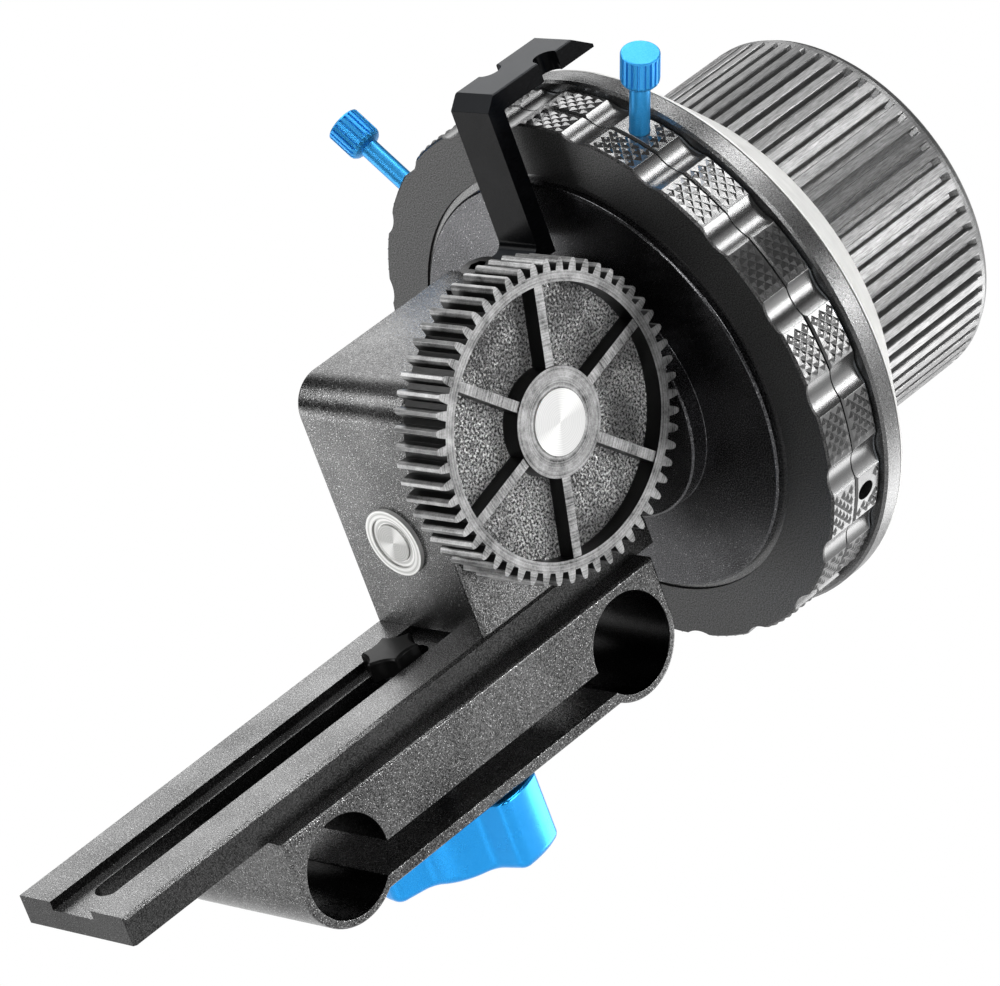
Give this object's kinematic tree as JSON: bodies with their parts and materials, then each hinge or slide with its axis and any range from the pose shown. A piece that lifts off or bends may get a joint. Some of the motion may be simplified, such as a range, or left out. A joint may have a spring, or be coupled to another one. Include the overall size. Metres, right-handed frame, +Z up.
{
  "type": "follow focus unit",
  "caption": "Camera follow focus: rod clamp, slide plate, gearbox with lens gear and a ribbed handwheel with two stop rings and a marking disc.",
  "frame": {"origin": "middle of the rod bore that lies furthest from the handwheel", "axes": "+X along the rods, towards the drive gear; +Y along the slide plate and the wheel's axis, towards the grip; +Z up, from the rods to the housing"},
  "size_m": [0.0888, 0.173, 0.1009],
  "materials": {
    "clamp": "bead-blasted, black anodised",
    "washer": "plain",
    "black_nut": "black oxide",
    "blue_knob": "satin blue anodised",
    "steel": "turned",
    "plate": "bead-blasted, black anodised",
    "housing": "bead-blasted, black anodised",
    "bright_bush": "face-turned",
    "bronze": "sintered",
    "spring_steel": "oiled",
    "moulded_gear": "moulded, pitted web",
    "bright_cap": "face-turned",
    "disc": "sandblasted, black anodised",
    "drum": "satin black anodised",
    "seal_rubber": "smooth",
    "ring": "gloss black anodised with knurled fields",
    "blue_screw": "polished blue anodised",
    "marking": "white, writable",
    "grip": "satin black, straight ribs",
    "arm": "gloss black anodised",
    "black_screw": "black oxide"
  },
  "bodies": {
    "clamp": {"rod_clamp": "clamp", "clamp_washer": "washer", "slot_nut": "black_nut"},
    "clamp_knob": {"clamp_knob": "blue_knob", "clamp_stud": "steel"},
    "carriage": {"slide_plate": "plate", "plate_screws": "steel", "gearbox_housing": "housing", "shaft_end_bush": "bright_bush", "bearing_outer_race": "steel", "bearing_balls": "steel", "gear_side_bush": "bronze", "clip_side_bush": "bronze", "stop_arm": "arm", "arm_screw": "black_screw"},
    "handwheel": {"wheel_shaft": "steel", "wheel_helical_gear": "steel", "bearing_inner_race": "steel", "shaft_collar": "steel", "wheel_spacer": "steel", "shaft_screw": "steel", "front_disc": "disc", "wheel_drum": "drum", "friction_ring_a": "seal_rubber", "friction_ring_b": "seal_rubber", "marking_disc": "marking", "grip_screws": "steel", "hand_grip": "grip"},
    "stop_ring_a": {"stop_ring_a": "ring"},
    "stop_ring_b": {"stop_ring_b": "ring"},
    "stop_screw_a": {"stop_screw_a": "blue_screw"},
    "stop_screw_b": {"stop_screw_b": "blue_screw"},
    "drive_gear": {"drive_gear": "moulded_gear", "gear_cap": "bright_cap", "gear_spacer": "steel", "gear_shaft": "steel", "shaft_helical_gear": "steel", "shaft_clip": "spring_steel"}
  },
  "joints": [
    {"name": "knob_turn", "type": "hinge", "parent": "clamp", "child": "clamp_knob", "pos_m": [0, 0.03, -0.014], "axis": [0, 0, 1], "range_deg": [0, 180]},
    {"name": "plate_slide", "type": "slide", "parent": "clamp", "child": "carriage", "axis": [0, 1, 0], "range_m": [-0.0025, 0.055]},
    {"name": "wheel_spin", "type": "hinge", "parent": "carriage", "child": "handwheel", "pos_m": [0, 0.055, 0.0286], "axis": [0, 1, 0], "range_deg": [-20.5, 41.4]},
    {"name": "gear_spin", "type": "hinge", "parent": "carriage", "child": "drive_gear", "pos_m": [0, 0.0551, 0.0405], "axis": [1, 0, 0], "range_deg": [-41.5, 20.6]},
    {"name": "ring_a_turn", "type": "hinge", "parent": "handwheel", "child": "stop_ring_a", "pos_m": [0, 0.0856, 0.0286], "axis": [0, 1, 0], "range_deg": [-110, 0]},
    {"name": "ring_b_turn", "type": "hinge", "parent": "handwheel", "child": "stop_ring_b", "pos_m": [0, 0.091, 0.0286], "axis": [0, 1, 0], "range_deg": [0, 110]},
    {"name": "screw_a_turn", "type": "hinge", "parent": "stop_ring_a", "child": "stop_screw_a", "pos_m": [0, 0.0856, 0.0286], "axis": [-0.7193, 0, 0.6947], "range_deg": [0, 360]},
    {"name": "screw_b_turn", "type": "hinge", "parent": "stop_ring_b", "child": "stop_screw_b", "pos_m": [0, 0.0904, 0.0286], "axis": [0.4226, 0, 0.9063], "range_deg": [0, 360]}
  ],
  "couplings": [
    {"joint": "gear_spin", "follows": "wheel_spin", "ratio": -1}
  ]
}
